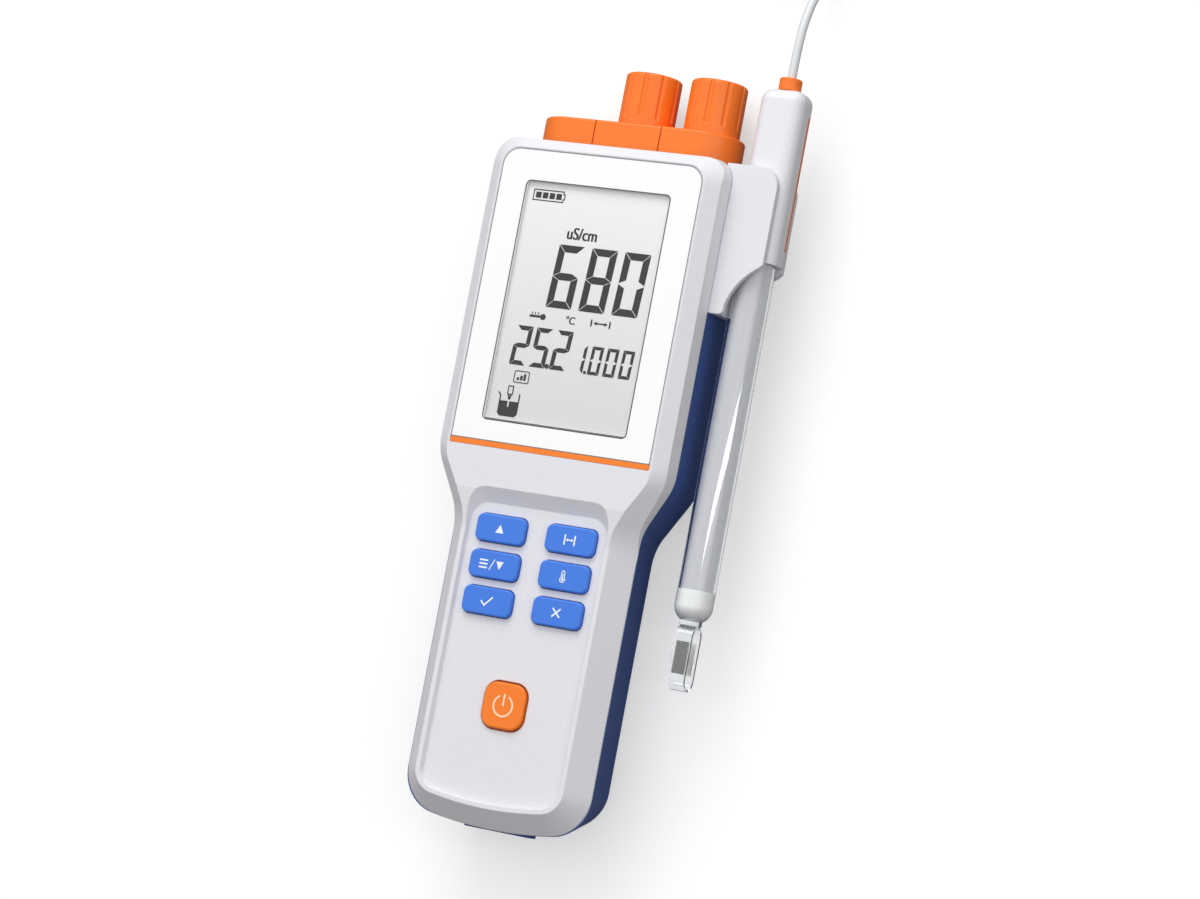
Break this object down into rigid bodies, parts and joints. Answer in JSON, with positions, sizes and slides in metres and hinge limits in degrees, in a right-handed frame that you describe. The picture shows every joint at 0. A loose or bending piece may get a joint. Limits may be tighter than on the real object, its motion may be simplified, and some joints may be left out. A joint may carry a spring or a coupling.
{
  "type": "conductivity meter",
  "caption": "Handheld conductivity meter with a large display, keypad, capped sockets and a corded measuring cell held in a side holder.",
  "frame": {"origin": "centre of the rear rest face, on the surface the meter lies on", "axes": "+X towards the side that carries the measuring cell, +Y towards the sockets, +Z the way the display faces"},
  "size_m": [0.0977, 0.3308, 0.038],
  "materials": {
    "white_plastic": "fine grained moulding",
    "blue_plastic": "fine grained moulding",
    "panel_gloss": "polished",
    "orange_plastic": "satin",
    "window_clear": "polished",
    "lcd_glass": "matt polariser",
    "diffuser": "satin",
    "frame_plastic": "satin",
    "elastomer": "matt",
    "board": "solder mask",
    "component_black": "matt",
    "screw_steel": "bright zinc",
    "mat_rubber": "matt",
    "gasket_rubber": "matt",
    "key_blue": "satin",
    "key_orange": "satin",
    "socket_plastic": "matt",
    "pin_brass": "gold plated",
    "cell_jacket": "printed jacket without a mark",
    "contact_nickel": "nickel plated",
    "holder_white": "satin",
    "handle_white": "satin",
    "cell_glass": "polished",
    "sleeve_grey": "satin",
    "seal_white": "matt",
    "platinum": "polished",
    "wire": "smooth",
    "cord_grey": "smooth",
    "plug_grey": "satin",
    "plug_metal": "nickel plated"
  },
  "bodies": {
    "housing": {"front_shell": "white_plastic", "rear_shell": "blue_plastic", "shell_gasket": "gasket_rubber", "front_panel": "panel_gloss", "display_window": "window_clear", "accent_strip": "orange_plastic", "lcd_cell": "lcd_glass", "lcd_backlight": "diffuser", "lcd_frame": "frame_plastic", "lcd_connector": "elastomer", "main_board": "board", "board_components": "component_black", "board_screws": "screw_steel", "case_screws": "screw_steel", "keypad_mat": "mat_rubber", "socket_board": "board", "conductivity_socket": "socket_plastic", "conductivity_pins": "pin_brass", "temperature_socket": "socket_plastic", "temperature_pins": "pin_brass", "header_left": "orange_plastic", "header_centre": "orange_plastic", "header_right": "orange_plastic", "battery_cell_1": "cell_jacket", "battery_cell_2": "cell_jacket", "battery_cell_3": "cell_jacket", "battery_plates": "contact_nickel", "battery_springs": "contact_nickel", "probe_holder": "holder_white", "holder_screws": "screw_steel"},
    "key_up": {"key_up": "key_blue"},
    "key_constant": {"key_constant": "key_blue"},
    "key_down": {"key_down": "key_blue"},
    "key_temperature": {"key_temperature": "key_blue"},
    "key_enter": {"key_enter": "key_blue"},
    "key_cancel": {"key_cancel": "key_blue"},
    "power_key": {"power_key": "key_orange"},
    "conductivity_cap": {"conductivity_cap": "orange_plastic"},
    "temperature_cap": {"temperature_cap": "orange_plastic"},
    "battery_door": {"battery_door": "blue_plastic"},
    "probe": {"probe_handle": "handle_white", "handle_stripe": "orange_plastic", "probe_collar": "orange_plastic", "probe_tube": "cell_glass", "tube_sleeve": "sleeve_grey", "cell_seal": "seal_white", "probe_leads": "wire", "cell_guard": "cell_glass", "electrode_plates": "platinum", "probe_cord": "cord_grey", "cord_coil": "cord_grey", "plug_cord": "cord_grey", "plug_boot": "plug_grey", "plug_body": "plug_grey", "plug_nose": "plug_metal", "plug_core": "socket_plastic"}
  },
  "joints": [
    {"name": "key_up_press", "type": "slide", "parent": "housing", "child": "key_up", "axis": [0, 0, -1], "range_m": [0, 0.0008], "stiffness_N_per_m": 400},
    {"name": "key_constant_press", "type": "slide", "parent": "housing", "child": "key_constant", "axis": [0, 0, -1], "range_m": [0, 0.0008], "stiffness_N_per_m": 400},
    {"name": "key_down_press", "type": "slide", "parent": "housing", "child": "key_down", "axis": [0, 0, -1], "range_m": [0, 0.0008], "stiffness_N_per_m": 400},
    {"name": "key_temperature_press", "type": "slide", "parent": "housing", "child": "key_temperature", "axis": [0, 0, -1], "range_m": [0, 0.0008], "stiffness_N_per_m": 400},
    {"name": "key_enter_press", "type": "slide", "parent": "housing", "child": "key_enter", "axis": [0, 0, -1], "range_m": [0, 0.0008], "stiffness_N_per_m": 400},
    {"name": "key_cancel_press", "type": "slide", "parent": "housing", "child": "key_cancel", "axis": [0, 0, -1], "range_m": [0, 0.0008], "stiffness_N_per_m": 400},
    {"name": "power_key_press", "type": "slide", "parent": "housing", "child": "power_key", "axis": [0, 0, -1], "range_m": [0, 0.0008], "stiffness_N_per_m": 400},
    {"name": "conductivity_cap_pull", "type": "slide", "parent": "housing", "child": "conductivity_cap", "axis": [0, 1, 0], "range_m": [0, 0.014]},
    {"name": "temperature_cap_pull", "type": "slide", "parent": "housing", "child": "temperature_cap", "axis": [0, 1, 0], "range_m": [0, 0.014]},
    {"name": "battery_door_slide", "type": "slide", "parent": "housing", "child": "battery_door", "axis": [0, -1, 0], "range_m": [0, 0.055]},
    {"name": "probe_lift", "type": "slide", "parent": "housing", "child": "probe", "axis": [0, 1, 0], "range_m": [0, 0.165]}
  ]
}
